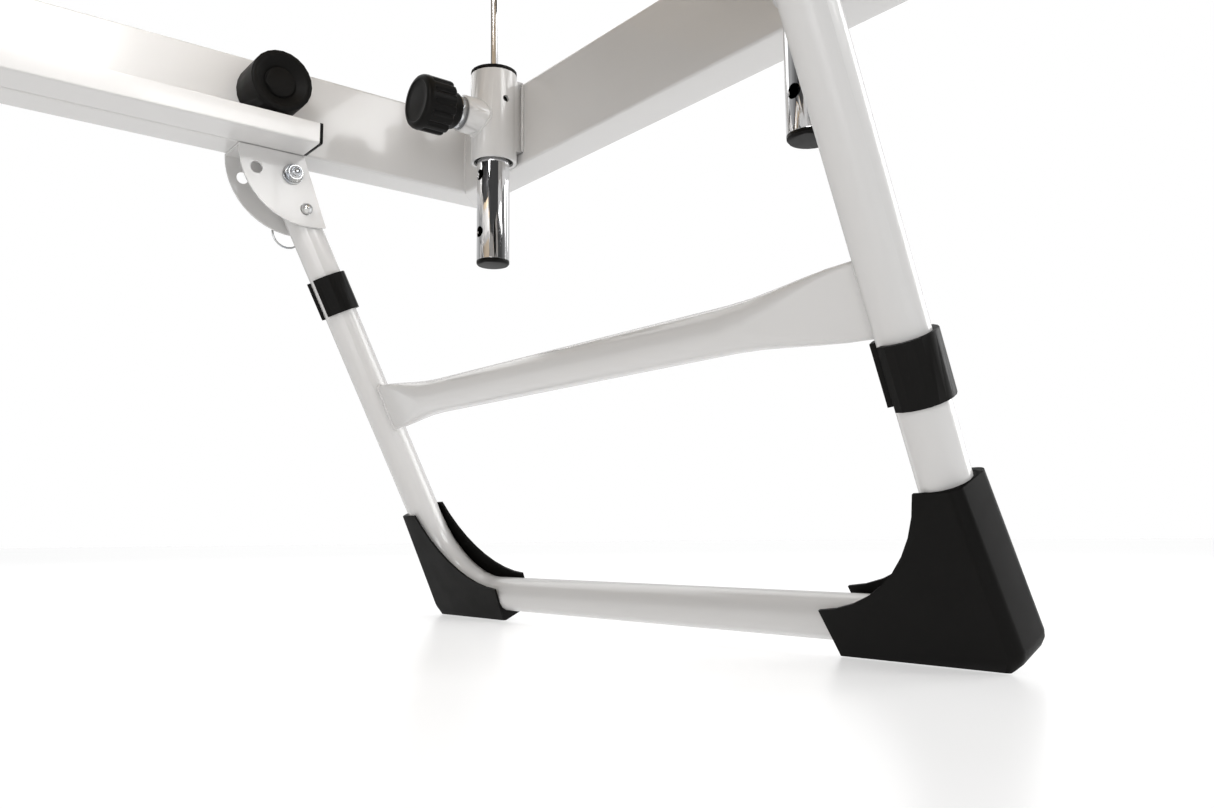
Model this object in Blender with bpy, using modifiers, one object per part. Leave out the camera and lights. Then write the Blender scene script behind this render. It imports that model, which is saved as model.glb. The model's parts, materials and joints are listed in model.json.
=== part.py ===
"""Portable massage table: a welded steel frame on two folding U-shaped leg frames, a padded top,
and a headrest on two chromed posts that slide in sockets at the head end.

Metres, +Z up. The head end is at +X and the table's left side at +Y. The origin is on the floor,
below the middle of the frame. The leg gear of the head end is modelled once, in the frame of an
empty, and a second empty turned half round carries the same gear for the foot end.
"""

from math import acos, asin, atan, cos, pi, radians, sin, sqrt

import bmesh
import bpy
import numpy as np
from mathutils import Matrix, Vector

# ---------------------------------------------------------------- driving dimensions
GAP = 0.0003  # between pieces that touch

TABLE_LENGTH = 1.850
FRAME_WIDTH = 0.639
UNDERSIDE = 0.4248  # height of the rails' underside above the floor

RAIL_HEIGHT = 0.080
RAIL_WIDTH = 0.038
RAIL_WALL = 0.002
RAIL_EDGE = 0.003  # outside radius of a rail's long edges
CROSS_RAIL_HEIGHT = 0.040

INNER_RAIL_WIDTH = 0.0393
INNER_RAIL_HEIGHT = 0.0195
INNER_RAIL_WALL = 0.0015
INNER_RAIL_SETBACK = 0.2106  # from the table's end to the inner rail's end
INNER_CAP = 0.003

PIVOT_SETBACK = 0.2194  # from the table's end to the legs' pivot
LEG_SLOPE = radians(25.2)  # of the leg frame from upright
LEG_RADIUS = 0.0150
LEG_WALL = 0.0018
LEG_BEND = 0.078  # centre-line radius of the U's corners
LEG_TOE_IN = 0.0150  # of each leg at the floor bar, from its place at the pivot
LEG_TOP = 0.007  # of the tube above its pivot
BRACE_RADIUS = 0.0148
BRACE_WALL = 0.0012
BRACE_UP = 0.192  # from the floor bar's axis, along the legs
BRACE_FLAT_HALF = 0.0220  # half height of the brace's pressed ends
BRACE_FLARE = 0.100  # length over which the brace is pressed flat

BRACKET_SHEET = 0.002
BRACKET_PLAY = 0.0020  # between a leg and each plate beside it
HEAD_PLAY = 0.000847  # between a leg's end and the bracket's web as it swings
BRACKET_RADIUS = 0.066
BRACKET_ARC_X = 0.0163  # centre of the bracket's round edge, outboard of the pivot
BRACKET_ARC_END = radians(-75)
BRACKET_TOP_X = 0.0103  # outboard end of the bracket's top edge
BOLT_RADIUS = 0.004
NUT_RADIUS = 0.0075
WASHER_RADIUS = 0.0095
PIN_RADIUS = 0.0053
PIN_REACH = 0.0332  # from the pivot to the lock pin
PIN_PROUD = 0.0062  # of the pin's round tip inboard of the bracket
PIN_TAIL = 0.012  # of the pin outboard of the bracket
RING_RADIUS = 0.0145
RING_WIRE = 0.0010

SHOE_SIDE = 0.0017  # wall of the shoe beside the tube
SHOE_SOLE = 0.0190  # from the floor bar's axis to the sole, in the leg frame's plane
SHOE_FLAT = 0.0013  # trimmed level with the floor off the sole's lower edge
SHOE_TOP = 0.087
SHOE_OUTER = 0.0257  # of the shoe beyond the leg's centre line near the floor
SHOE_WALL_TOP = 0.0019  # of the shoe's outer wall at its top
SHOE_CORNER = 0.012
SHOE_EDGE = 0.0065  # radius of the shoe's outer upright edges
SHOE_TIP = 0.1008  # of the shoe's inner tip inward of the leg's centre line
SHOE_HEEL = 0.0948  # the same for the sole's inner end
SHOE_MOUTH = 0.1072  # the same for the centre of the round mouth
SHOE_MOUTH_UP = 0.1172
SHOE_MOUTH_RADIUS = 0.1043

COLLAR_WALL = 0.0030
COLLAR_HEIGHT = 0.036
COLLAR_UP_RIGHT = 0.151  # from the floor bar's axis, along the leg
COLLAR_UP_LEFT = 0.3077
COLLAR_SLIT = radians(46)
COLLAR_SLIT_LEFT = radians(180)  # direction each slit faces, from outboard
COLLAR_SLIT_RIGHT = radians(139)

BUFFER_RADIUS = 0.0274
BUFFER_LENGTH = 0.040
BUFFER_SETBACK = 0.2461
BUFFER_UP = 0.0492  # above the rails' underside

POST_SPACING = 0.383
POST_INSET = 0.0221  # of the posts' axis from the end rail's inner face
POST_RADIUS = 0.0153
POST_WALL = 0.0020
POST_BELOW = 0.0950  # of the post tube below its socket
SOCKET_RADIUS = 0.0218
SOCKET_WALL = 0.0031
SOCKET_HEIGHT = 0.0856
SOCKET_PLATE_HALF = 0.017
SOCKET_PLATE_HEIGHT = 0.0693
SOCKET_PLATE_DROP = 0.0062  # of the plate's top below the socket's
BOSS_RADIUS = 0.0170
BOSS_REACH = 0.0358  # from the post's axis
BUSH_FLANGE = 0.0035
BUSH_RECESS = 0.0025
INDEX_PITCH = 0.0548
INDEX_RADIUS = 0.0052
INDEX_HOLES = 3
LOCK_UP = 0.0404  # of the knob's axis above the socket's foot
BARREL_RADIUS = 0.0155
BARREL_SHANK = 0.0080
BARREL_REACH = 0.0428
PLUNGER_RADIUS = 0.0050
KNOB_RADIUS = 0.025
KNOB_HUB_RADIUS = 0.017
KNOB_HUB = 0.0047
KNOB_REACH = 0.082
POST_CAP = 0.0040
ROD_RADIUS = 0.004
ROD_PLUG = 0.015
ROD_FLANGE_RADIUS = 0.018
ROD_FLANGE = 0.003

TOP_BOARD = 0.012
TOP_CUSHION = 0.055
TOP_OVERHANG = 0.0055  # of the cushion beyond the frame at each side
BOARD_INSET = 0.010  # of the board from the cushion's edge
TOP_HEAD_SETBACK = 0.470  # from the table's head end to the padded top
HEADREST_BOTTOM = 0.6450
HEADREST_BOARD = 0.012
HEADREST_CUSHION = 0.050
HEADREST_LENGTH = 0.375
HEADREST_WIDTH = 0.470
HEADREST_SETBACK = 0.0150
PAD_CORNER = 0.040

# ---------------------------------------------------------------- sizes that follow
HALF_LENGTH = TABLE_LENGTH / 2
HALF_WIDTH = FRAME_WIDTH / 2
RAIL_INNER = HALF_WIDTH - RAIL_WIDTH
RAIL_TOP = UNDERSIDE + RAIL_HEIGHT
PIVOT_DROP = GAP + BRACKET_SHEET + HEAD_PLAY + sqrt(LEG_RADIUS**2 + LEG_TOP**2)  # below the rails
PIVOT = Vector((HALF_LENGTH - PIVOT_SETBACK, 0, UNDERSIDE - PIVOT_DROP))
SHOE_HALF_WIDTH = LEG_RADIUS + GAP + SHOE_SIDE
STAND = SHOE_HALF_WIDTH * sin(LEG_SLOPE) + SHOE_SOLE * cos(LEG_SLOPE) - SHOE_FLAT  # floor to bar's axis
LEG_REACH = (PIVOT.z - STAND) / cos(LEG_SLOPE)  # pivot to floor bar's axis
LEG_CENTRE = HALF_WIDTH - RAIL_WIDTH / 2 + GAP  # of a leg at its pivot
COLLAR_RADIUS = LEG_RADIUS + GAP + COLLAR_WALL
SPLAY = LEG_TOE_IN / LEG_REACH  # outward run of the legs per metre of height
BRACKET_HALF = LEG_RADIUS + BRACKET_PLAY + BRACKET_SHEET  # half width over a bracket's plates
PLATE_OUTER = HALF_WIDTH - RAIL_WIDTH / 2 + BRACKET_HALF
PLATE_INNER = HALF_WIDTH - RAIL_WIDTH / 2 - BRACKET_HALF
POST_X = HALF_LENGTH - RAIL_WIDTH - POST_INSET
SOCKET_FOOT = UNDERSIDE
SOCKET_TOP = SOCKET_FOOT + SOCKET_HEIGHT
LOCK_Z = SOCKET_FOOT + LOCK_UP
POST_FOOT = SOCKET_FOOT - POST_BELOW
POST_TOP = SOCKET_TOP + BUSH_FLANGE
TOP_HEAD_X = HALF_LENGTH - TOP_HEAD_SETBACK
SIDES = (("left", 1), ("right", -1))
ENDS = ("head", "foot")
ROUND = 24  # sides of a round piece

COLOURS = {
    "white_powder_coat": ((0.80, 0.79, 0.77), 0.25, 0.0),
    "chrome": ((0.80, 0.80, 0.80), 0.08, 1.0),
    "zinc": ((0.62, 0.64, 0.66), 0.35, 1.0),
    "black_rubber": ((0.010, 0.009, 0.008), 0.60, 0.0),
    "black_plastic": ((0.012, 0.012, 0.012), 0.40, 0.0),
    "plywood": ((0.52, 0.36, 0.20), 0.60, 0.0),
    "vinyl": ((0.030, 0.030, 0.032), 0.45, 0.0),
}


# ---------------------------------------------------------------- scene helpers
def collection(name, hidden=False):
    made = bpy.data.collections.new(name)
    bpy.context.scene.collection.children.link(made)
    made.hide_render = hidden
    return made


for old in list(bpy.data.objects):
    bpy.data.objects.remove(old)
PARTS = collection("massage_table")
CUTTERS = collection("cutters", hidden=True)


def material(name):
    found = bpy.data.materials.get(name)
    if found:
        return found
    colour, roughness, metallic = COLOURS[name]
    made = bpy.data.materials.new(name)
    made.use_nodes = True
    shader = made.node_tree.nodes["Principled BSDF"]
    shader.inputs["Base Color"].default_value = (*colour, 1)
    shader.inputs["Roughness"].default_value = roughness
    shader.inputs["Metallic"].default_value = metallic
    made.diffuse_color = (*colour, 1)
    return made


def empty(name, at=(0, 0, 0), turn=(0, 0, 0), parent=None):
    made = bpy.data.objects.new(name, None)
    made.location, made.rotation_euler, made.parent = at, turn, parent
    PARTS.objects.link(made)
    return made


def placed(name, mesh, finish, parent=None, at=(0, 0, 0), turn=(0, 0, 0)):
    """An object of the table: one node, with its own material slot."""
    made = bpy.data.objects.new(name, mesh)
    made.location, made.rotation_euler, made.parent = at, turn, parent
    mesh.materials.clear()
    mesh.materials.append(material(finish))
    mesh.shade_smooth()
    mesh.set_sharp_from_angle(angle=radians(35))
    PARTS.objects.link(made)
    return made


def combine(obj, mesh, operation="DIFFERENCE"):
    """A Boolean on obj, with its operand as a hidden guide that shares obj's place."""
    other = bpy.data.objects.new(f"{obj.name}_{operation.lower()}_{len(obj.modifiers)}", mesh)
    other.location, other.rotation_euler, other.parent = obj.location, obj.rotation_euler, obj.parent
    other.hide_render, other.display_type = True, "WIRE"
    CUTTERS.objects.link(other)
    modifier = obj.modifiers.new(operation.lower(), "BOOLEAN")
    modifier.operation, modifier.object, modifier.solver = operation, other, "EXACT"
    return obj


# ---------------------------------------------------------------- shape helpers
def as_mesh(build, name="shape"):
    """A mesh from a function that fills a bmesh."""
    shape = bmesh.new()
    build(shape)
    bmesh.ops.recalc_face_normals(shape, faces=shape.faces)
    mesh = bpy.data.meshes.new(name)
    shape.to_mesh(mesh)
    shape.free()
    return mesh


def box(low, high, edge=0.0, along=0, segments=2):
    """A box between two corners; edge rounds the long edges that run along one axis."""
    low, high = Vector(low), Vector(high)

    def build(shape):
        size, middle = high - low, (high + low) / 2
        bmesh.ops.create_cube(shape, size=1, matrix=Matrix.Translation(middle) @ Matrix.Diagonal((*size, 1)))
        if edge:
            long_edges = [e for e in shape.edges if abs((e.verts[0].co - e.verts[1].co)[along]) > 1e-6]
            bmesh.ops.bevel(shape, geom=long_edges, offset=edge, segments=segments, affect="EDGES", profile=0.5)

    return as_mesh(build)


def cylinder(radius, start, end, sides=ROUND, end_radius=None):
    """A cylinder, or a cone, between two points."""
    start, end = Vector(start), Vector(end)

    def build(shape):
        turn = (end - start).to_track_quat("Z", "Y").to_matrix().to_4x4()
        bmesh.ops.create_cone(
            shape,
            cap_ends=True,
            segments=sides,
            radius1=radius,
            radius2=radius if end_radius is None else end_radius,
            depth=(end - start).length,
            matrix=Matrix.Translation((start + end) / 2) @ turn,
        )

    return as_mesh(build)


def from_curve(curve):
    """A curve's evaluated surface as a closed mesh, with its caps welded."""
    guide = bpy.data.objects.new("guide", curve)
    PARTS.objects.link(guide)
    bpy.context.view_layer.update()
    mesh = bpy.data.meshes.new_from_object(guide.evaluated_get(bpy.context.evaluated_depsgraph_get()))
    bpy.data.objects.remove(guide)
    shape = bmesh.new()
    shape.from_mesh(mesh)
    bmesh.ops.remove_doubles(shape, verts=shape.verts, dist=1e-6)
    bmesh.ops.recalc_face_normals(shape, faces=shape.faces)
    shape.to_mesh(mesh)
    shape.free()
    return mesh


def tube(points, radius, closed=False, bevel_resolution=6):
    """A round bar along a run of points."""
    curve = bpy.data.curves.new("tube", "CURVE")
    curve.dimensions = "3D"
    curve.bevel_depth, curve.bevel_resolution, curve.use_fill_caps = radius, bevel_resolution, True
    spline = curve.splines.new("POLY")
    spline.points.add(len(points) - 1)
    for point, co in zip(spline.points, points):
        point.co = (*co, 1)
    spline.use_cyclic_u = closed
    return from_curve(curve)


def outline(points, half_thickness, lies_in=Matrix.Identity(4), edge=0.0):
    """A flat outline given in XY, thickened along Z, its rims towards +X rounded, laid in another plane."""
    curve = bpy.data.curves.new("outline", "CURVE")
    curve.dimensions, curve.fill_mode, curve.extrude = "2D", "BOTH", half_thickness
    spline = curve.splines.new("POLY")
    spline.points.add(len(points) - 1)
    for point, (x, y) in zip(spline.points, points):
        point.co = (x, y, 0, 1)
    spline.use_cyclic_u = True
    mesh = from_curve(curve)
    if edge:
        shape = bmesh.new()
        shape.from_mesh(mesh)
        bmesh.ops.dissolve_limit(shape, angle_limit=radians(0.5), verts=shape.verts, edges=shape.edges)
        on_rim = [abs(abs(v.co.z) - half_thickness) < 1e-6 for v in shape.verts]
        shape.verts.index_update()
        rims = [e for e in shape.edges if e.is_manifold and all(on_rim[v.index] for v in e.verts)]
        rims = [e for e in rims if abs(e.verts[0].co.z - e.verts[1].co.z) < 1e-6]
        rims = [e for e in rims if max(f.normal.x for f in e.link_faces) > 0.2]
        bmesh.ops.bevel(shape, geom=rims, offset=edge, segments=4, affect="EDGES", profile=0.5)
        bmesh.ops.recalc_face_normals(shape, faces=shape.faces)
        shape.to_mesh(mesh)
        shape.free()
    mesh.transform(lies_in)
    return mesh


def arc(centre, radius, start, end, steps):
    """Points of an arc in a plane, both ends included."""
    angles = np.linspace(start, end, steps + 1)
    return [(centre[0] + radius * cos(a), centre[1] + radius * sin(a)) for a in angles]


def turned(profile, along="Z", sides=ROUND):
    """A turned piece from its closed half profile (radius, height), by a Screw on its outline."""
    mesh = bpy.data.meshes.new("profile")
    loop = len(profile)
    mesh.from_pydata([(r, 0, h) for r, h in profile], [(i, (i + 1) % loop) for i in range(loop)], [])
    guide = bpy.data.objects.new("turned", mesh)
    PARTS.objects.link(guide)
    screw = guide.modifiers.new("screw", "SCREW")
    screw.steps = screw.render_steps = sides
    screw.use_merge_vertices, screw.merge_threshold = True, 1e-6
    bpy.context.view_layer.update()
    made = bpy.data.meshes.new_from_object(guide.evaluated_get(bpy.context.evaluated_depsgraph_get()))
    bpy.data.objects.remove(guide)
    shape = bmesh.new()
    shape.from_mesh(made)
    bmesh.ops.remove_doubles(shape, verts=shape.verts, dist=1e-7)
    bmesh.ops.dissolve_degenerate(shape, edges=shape.edges, dist=1e-7)
    bmesh.ops.recalc_face_normals(shape, faces=shape.faces)
    if along == "-X":
        bmesh.ops.rotate(shape, verts=shape.verts, matrix=Matrix.Rotation(-pi / 2, 3, "Y"))
    if along == "Y":
        bmesh.ops.rotate(shape, verts=shape.verts, matrix=Matrix.Rotation(-pi / 2, 3, "X"))
    shape.to_mesh(made)
    shape.free()
    return made


def side_of(end, side):
    """World side of a piece that stands on the given local side of an end's gear."""
    if end == "head":
        return side
    return "right" if side == "left" else "left"


# ---------------------------------------------------------------- frame
def mitred_rail(name, length, width, along_y=False, at=(0, 0, 0), flip=False):
    """A hollow rail with 45 degree ends, its outer face at y = 0 and its inner face at y = -width."""
    half = length / 2 - GAP

    def build(shape):
        low, high = Vector((-half, -width, 0)), Vector((half, 0, RAIL_HEIGHT))
        size, middle = high - low, (high + low) / 2
        bmesh.ops.create_cube(shape, size=1, matrix=Matrix.Translation(middle) @ Matrix.Diagonal((*size, 1)))
        long_edges = [e for e in shape.edges if abs((e.verts[0].co - e.verts[1].co).x) > 1e-6]
        bmesh.ops.bevel(shape, geom=long_edges, offset=RAIL_EDGE, segments=2, affect="EDGES", profile=0.5)
        for vertex in shape.verts:
            vertex.co.x += vertex.co.y * (1 if vertex.co.x > 0 else -1)

    turn = (pi if flip else 0) + (-pi / 2 if along_y else 0)
    rail = placed(name, as_mesh(build), "white_powder_coat", at=at, turn=(0, 0, turn))
    low = (-length, -width + RAIL_WALL, RAIL_WALL)
    high = (length, -RAIL_WALL, RAIL_HEIGHT - RAIL_WALL)
    return combine(rail, box(low, high))


def build_rails():
    mitred_rail("side_rail_left", TABLE_LENGTH, RAIL_WIDTH, at=(0, HALF_WIDTH, UNDERSIDE))
    mitred_rail("side_rail_right", TABLE_LENGTH, RAIL_WIDTH, at=(0, -HALF_WIDTH, UNDERSIDE), flip=True)
    mitred_rail("end_rail_head", FRAME_WIDTH, RAIL_WIDTH, along_y=True, at=(HALF_LENGTH, 0, UNDERSIDE))
    mitred_rail(
        "end_rail_foot", FRAME_WIDTH, RAIL_WIDTH, along_y=True, at=(-HALF_LENGTH, 0, UNDERSIDE), flip=True
    )


def hollow_bar(name, low, high, along, wall, edge):
    """A rectangular tube, open at both ends of one axis."""
    bar = placed(name, box(low, high, edge, along), "white_powder_coat")
    low, high = Vector(low), Vector(high)
    for axis in range(3):
        grow = -wall if axis != along else wall
        low[axis] -= grow
        high[axis] += grow
    return combine(bar, box(low, high))


def build_cross_rails():
    """Three rails under the padded top, level with the side rails' upper face."""
    foot_x = -HALF_LENGTH + TOP_HEAD_SETBACK
    head_x = TOP_HEAD_X - RAIL_WIDTH / 2
    for name, x in (("head", head_x), ("middle", (head_x + foot_x) / 2), ("foot", foot_x)):
        low = (x - RAIL_WIDTH / 2, -RAIL_INNER + GAP, RAIL_TOP - CROSS_RAIL_HEIGHT)
        high = (x + RAIL_WIDTH / 2, RAIL_INNER - GAP, RAIL_TOP)
        hollow_bar(f"cross_rail_{name}", low, high, 1, RAIL_WALL, RAIL_EDGE)


def build_inner_rails():
    """A flat tube along each side rail's inner face, with a plastic cap on each end."""
    half = HALF_LENGTH - INNER_RAIL_SETBACK
    for side, sign in SIDES:
        near, far = sorted((sign * (RAIL_INNER - GAP), sign * (RAIL_INNER - INNER_RAIL_WIDTH)))
        low, high = (-half, near, UNDERSIDE), (half, far, UNDERSIDE + INNER_RAIL_HEIGHT)
        hollow_bar(f"inner_rail_{side}", low, high, 0, INNER_RAIL_WALL, RAIL_EDGE / 2)
        for end, towards in (("head", 1), ("foot", -1)):
            x0, x1 = sorted((towards * (half + GAP), towards * (half + INNER_CAP)))
            cap = box((x0, near, UNDERSIDE), (x1, far, UNDERSIDE + INNER_RAIL_HEIGHT), RAIL_EDGE / 2)
            placed(f"inner_rail_cap_{end}_{side}", cap, "black_plastic")


# ---------------------------------------------------------------- leg gear of one end
def leg_plane_point(y, up):
    """A point of the leg frame's plane, up being measured from the floor bar's axis."""
    return (0, y, up - LEG_REACH)


def leg_y(up):
    """Half distance between the legs' centre lines at a height along them."""
    return LEG_CENTRE - LEG_TOE_IN + SPLAY * up


def leg_path(extra=0.0):
    """Centre line of the U: up one leg, round both corners and up the other."""
    lean = atan(SPLAY)
    sweep = pi / 2 - lean
    centre_y = leg_y(LEG_BEND) - LEG_BEND / cos(lean)
    corner = arc((centre_y, LEG_BEND), LEG_BEND, -lean, -lean - sweep, 8)
    right_leg = [(leg_y(LEG_REACH + LEG_TOP + extra), LEG_REACH + LEG_TOP + extra), *corner]
    points = right_leg + [(-y, up) for y, up in reversed(right_leg)]
    return [leg_plane_point(y, up) for y, up in points]


def notch(sign):
    """Opening in a leg for the lock pin, free towards outboard so that the leg can swing off it."""
    spare = PIN_RADIUS + GAP
    swing = swing_to_clear()
    top = -(PIN_REACH - spare - PIN_REACH * (1 - cos(swing)))
    low = (-spare, sign * LEG_CENTRE - 2 * LEG_RADIUS, -(PIN_REACH + spare))
    high = (2 * LEG_RADIUS, sign * LEG_CENTRE + 2 * LEG_RADIUS, top)
    return box(low, high)


def swing_to_clear():
    """Angle through which a leg turns before its tube is clear of the lock pin."""
    reach = (LEG_RADIUS + PIN_RADIUS + GAP) / PIN_REACH
    return atan(reach / sqrt(1 - reach * reach))


def build_leg_frame(end, hinge):
    frame = placed(f"leg_frame_{end}", tube(leg_path(), LEG_RADIUS), "white_powder_coat", hinge)
    combine(frame, tube(leg_path(extra=0.01), LEG_RADIUS - LEG_WALL))
    for _, sign in SIDES:
        y = sign * LEG_CENTRE
        hole = cylinder(BOLT_RADIUS + GAP, (0, y - 2 * LEG_RADIUS, 0), (0, y + 2 * LEG_RADIUS, 0))
        combine(frame, hole)
        combine(frame, notch(sign))


def brace_section(half_height, wall):
    """A ring of the brace: a circle pressed to a long round-ended section of the same girth."""
    half_width = (2 * pi * BRACE_RADIUS - 4 * half_height) / (2 * pi - 4)
    radius, straight = half_width - wall, half_height - half_width
    up = [(radius * cos(a), straight + radius * sin(a)) for a in np.linspace(0, pi, 10)]
    return up + [(-x, -z) for x, z in up]


def build_brace(end, hinge):
    """The tube between the legs, pressed flat at both ends: a loft between rings."""
    span = leg_y(BRACE_UP) - LEG_RADIUS - GAP
    steps = np.linspace(0, 1, 6)
    stations = [1 - s * BRACE_FLARE / span for s in steps]
    stations += [-s for s in reversed(stations)]
    pressed = [BRACE_RADIUS + (BRACE_FLAT_HALF - BRACE_RADIUS) * (1 - s * s * (3 - 2 * s)) for s in steps]
    pressed += list(reversed(pressed))

    def build(shape):
        skins = []
        for wall in (0, BRACE_WALL):
            rings = []
            for t, half_height in zip(stations, pressed):
                ring = [
                    shape.verts.new((x, t * (span + SPLAY * z), BRACE_UP + z - LEG_REACH))
                    for x, z in brace_section(half_height, wall)
                ]
                rings.append(ring)
            for one, two in zip(rings, rings[1:]):
                for i in range(len(one)):
                    j = (i + 1) % len(one)
                    shape.faces.new((one[i], one[j], two[j], two[i]))
            skins.append(rings)
        for last in (0, -1):
            outer, inner = skins[0][last], skins[1][last]
            for i in range(len(outer)):
                j = (i + 1) % len(outer)
                shape.faces.new((outer[i], outer[j], inner[j], inner[i]))

    placed(f"leg_brace_{end}", as_mesh(build), "white_powder_coat", hinge)


def shoe_outline():
    """A shoe in its leg frame's plane: a sole, a leaning outer wall, and a round mouth inside."""
    foot_y = leg_y(0)
    top_outer = leg_y(SHOE_TOP) + LEG_RADIUS + SHOE_WALL_TOP
    start = -acos((SHOE_MOUTH - SHOE_TIP) / SHOE_MOUTH_RADIUS)
    end = -asin((SHOE_MOUTH_UP - SHOE_TOP) / SHOE_MOUTH_RADIUS)
    mouth = arc((foot_y - SHOE_MOUTH, SHOE_MOUTH_UP), SHOE_MOUTH_RADIUS, start, end, 9)
    corner_at = (foot_y + SHOE_OUTER - SHOE_CORNER, SHOE_CORNER - SHOE_SOLE)
    corner = arc(corner_at, SHOE_CORNER, 0, -pi / 2, 4)
    return [*mouth, (top_outer, SHOE_TOP), *corner, (foot_y - SHOE_HEEL, -SHOE_SOLE)]


def floor_block():
    """Everything below the floor near a shoe, in the hinge's tilted frame."""
    low, high = (-LEG_REACH, -FRAME_WIDTH, -PIVOT.z - SHOE_SOLE), (LEG_REACH, FRAME_WIDTH, -PIVOT.z)
    block = box(low, high)
    block.transform(Matrix.Rotation(LEG_SLOPE, 4, "Y"))
    return block


def channel_outline():
    """The open side of a shoe's channel: all that lies inside the tube's centre line."""
    path = [(p[1], p[2] + LEG_REACH) for p in leg_path() if p[1] > 0]
    return [*path, (0, 0), (0, LEG_REACH)]


# A flat outline's XY becomes the leg plane's Y and Z, for the left leg and for the right.
LEFT_PLANE = Matrix(((0, 0, 1, 0), (1, 0, 0, 0), (0, 1, 0, -LEG_REACH), (0, 0, 0, 1)))
RIGHT_PLANE = Matrix(((0, 0, 1, 0), (-1, 0, 0, 0), (0, 1, 0, -LEG_REACH), (0, 0, 0, 1)))


def closed_outwards(mesh):
    """The same mesh with its faces turned outwards, after a mirroring."""
    shape = bmesh.new()
    shape.from_mesh(mesh)
    bmesh.ops.recalc_face_normals(shape, faces=shape.faces)
    shape.to_mesh(mesh)
    shape.free()
    return mesh


def build_shoe(end, side, sign, hinge):
    """A moulded corner piece: a channel that wraps the outside of the U's corner."""
    plane = LEFT_PLANE if sign > 0 else RIGHT_PLANE
    block = closed_outwards(outline(shoe_outline(), SHOE_HALF_WIDTH, plane, SHOE_EDGE))
    shoe = placed(f"leg_shoe_{end}_{side_of(end, side)}", block, "black_rubber", hinge)
    combine(shoe, tube(leg_path(), LEG_RADIUS + GAP))
    combine(shoe, closed_outwards(outline(channel_outline(), LEG_RADIUS + GAP / 2, plane)))
    combine(shoe, floor_block())


def build_collar(end, side, sign, hinge):
    """A split clip round a leg, which the folded leg rests on against the side rail."""
    up = COLLAR_UP_LEFT if side == "left" else COLLAR_UP_RIGHT
    facing = COLLAR_SLIT_LEFT if side == "left" else COLLAR_SLIT_RIGHT
    inner = LEG_RADIUS + GAP
    start, stop = facing + COLLAR_SLIT / 2, facing - COLLAR_SLIT / 2 + 2 * pi
    ring = arc((0, 0), COLLAR_RADIUS, start, stop, 20) + arc((0, 0), inner, stop, start, 20)
    mesh = outline(ring, COLLAR_HEIGHT / 2)
    at = leg_plane_point(sign * leg_y(up), up)
    placed(f"leg_collar_{end}_{side_of(end, side)}", mesh, "black_plastic", hinge, at, (-sign * atan(SPLAY), 0, 0))


def bracket_outline():
    """Side view of a bracket from its pivot: a quarter round inboard and a straight edge outboard."""
    top = PIVOT_DROP - GAP
    round_edge = arc((BRACKET_ARC_X, top), BRACKET_RADIUS, pi, 2 * pi + BRACKET_ARC_END, 14)
    return [*round_edge, (BRACKET_TOP_X, top)]


def build_bracket(end, side, sign, gear):
    """A channel of sheet under the side rail: two plates, one on each side of the leg, and a web."""
    middle, half = (PLATE_OUTER + PLATE_INNER) / 2, BRACKET_HALF
    stands = Matrix.Rotation(pi / 2, 4, "X")
    block = outline(bracket_outline(), half, stands)
    at = (PIVOT.x, sign * middle, PIVOT.z)
    bracket = placed(f"leg_bracket_{end}_{side_of(end, side)}", block, "white_powder_coat", gear, at)
    reach = 2 * BRACKET_RADIUS
    slot = box((-reach, -half + BRACKET_SHEET, -reach), (reach, half - BRACKET_SHEET, PIVOT_DROP - GAP - BRACKET_SHEET))
    combine(bracket, slot)
    locked = (PIN_REACH * sin(LEG_SLOPE), -PIN_REACH * cos(LEG_SLOPE))
    for (x, z), radius in (((0, 0), BOLT_RADIUS), (locked, PIN_RADIUS), ((-PIN_REACH, 0), PIN_RADIUS)):
        combine(bracket, cylinder(radius + GAP, (x, -2 * half, z), (x, 2 * half, z)))


def build_pivot_bolt(end, side, sign, gear):
    """The bolt that a leg swings on, with its head outside and its washer and nut inside."""
    inner, outer = PLATE_INNER - GAP, PLATE_OUTER + GAP
    washer, nut, stud = 0.0016, 0.0085, 0.0115
    head = 0.0055
    profile = [
        (0, inner - stud),
        (BOLT_RADIUS - 0.0008, inner - stud),
        (BOLT_RADIUS, inner - stud + 0.0008),
        (BOLT_RADIUS, inner - nut),
        (NUT_RADIUS - 0.0012, inner - nut),
        (NUT_RADIUS, inner - nut + 0.0012),
        (NUT_RADIUS, inner - washer),
        (WASHER_RADIUS, inner - washer),
        (WASHER_RADIUS, inner),
        (BOLT_RADIUS, inner),
        (BOLT_RADIUS, outer),
        (NUT_RADIUS, outer),
        (NUT_RADIUS, outer + head - 0.0012),
        (NUT_RADIUS - 0.0012, outer + head),
        (0, outer + head),
    ]
    mesh = turned(profile, "Y", 18)
    turn = (0, 0, 0) if sign > 0 else (0, 0, pi)
    placed(f"pivot_bolt_{end}_{side_of(end, side)}", mesh, "zinc", gear, (PIVOT.x, 0, PIVOT.z), turn)


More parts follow.
